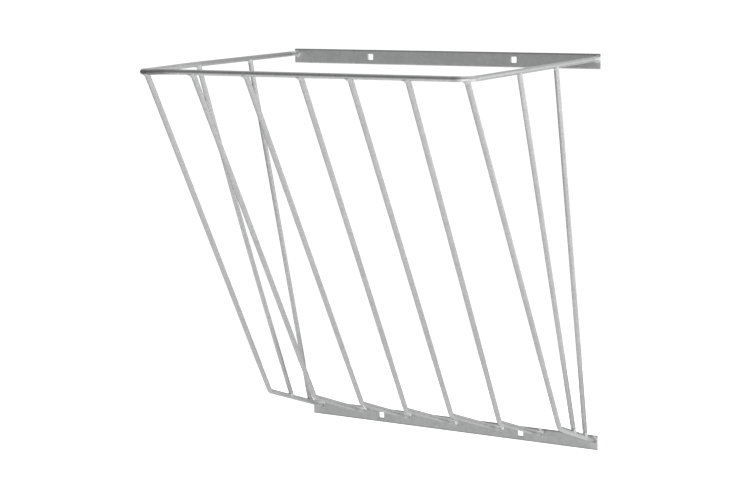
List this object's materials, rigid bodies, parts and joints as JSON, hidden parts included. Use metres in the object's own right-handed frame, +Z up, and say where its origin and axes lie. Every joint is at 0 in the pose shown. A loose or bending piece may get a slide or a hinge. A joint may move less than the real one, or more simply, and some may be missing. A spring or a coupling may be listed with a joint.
{
  "type": "wall-mounted hay manger",
  "caption": "Open basket of bent round bar, wide at the mouth and narrow at the foot, welded to punched flat bars that bolt to a wall, for feeding hay to livestock.",
  "frame": {"origin": "middle of the upper mounting bar, on its back face, in the plane of the wall", "axes": "+X to the right as seen from the front, +Y into the wall, +Z up"},
  "size_m": [0.8736, 0.7193, 0.9931],
  "materials": {
    "zinc_flat_bar": "hot-dip galvanised, dull grey with a faint spangle",
    "zinc_round_bar": "hot-dip galvanised, satin grey",
    "zinc_weld": "galvanised over the weld bead, brighter and uneven"
  },
  "bodies": {
    "root": {"upper_mounting_bar": "zinc_flat_bar", "lower_mounting_bar": "zinc_flat_bar", "hoop_rim": "zinc_round_bar", "front_rod_1": "zinc_round_bar", "front_rod_2": "zinc_round_bar", "front_rod_3": "zinc_round_bar", "front_rod_4": "zinc_round_bar", "front_rod_5": "zinc_round_bar", "front_rod_6": "zinc_round_bar", "front_rod_7": "zinc_round_bar", "side_rod_left_front": "zinc_round_bar", "side_rod_left_rear": "zinc_round_bar", "side_rod_right_front": "zinc_round_bar", "side_rod_right_rear": "zinc_round_bar", "weld_rim_left": "zinc_weld", "weld_rim_right": "zinc_weld", "weld_front_rod_1_top": "zinc_weld", "weld_front_rod_2_top": "zinc_weld", "weld_front_rod_3_top": "zinc_weld", "weld_front_rod_4_top": "zinc_weld", "weld_front_rod_5_top": "zinc_weld", "weld_front_rod_6_top": "zinc_weld", "weld_front_rod_7_top": "zinc_weld", "weld_front_rod_1_foot": "zinc_weld", "weld_front_rod_2_foot": "zinc_weld", "weld_front_rod_3_foot": "zinc_weld", "weld_front_rod_4_foot": "zinc_weld", "weld_front_rod_5_foot": "zinc_weld", "weld_front_rod_6_foot": "zinc_weld", "weld_front_rod_7_foot": "zinc_weld", "weld_side_rod_left_front_top": "zinc_weld", "weld_side_rod_left_front_foot": "zinc_weld", "weld_side_rod_left_rear_top": "zinc_weld", "weld_side_rod_left_rear_foot": "zinc_weld", "weld_side_rod_right_front_top": "zinc_weld", "weld_side_rod_right_front_foot": "zinc_weld", "weld_side_rod_right_rear_top": "zinc_weld", "weld_side_rod_right_rear_foot": "zinc_weld"}
  },
  "joints": []
}
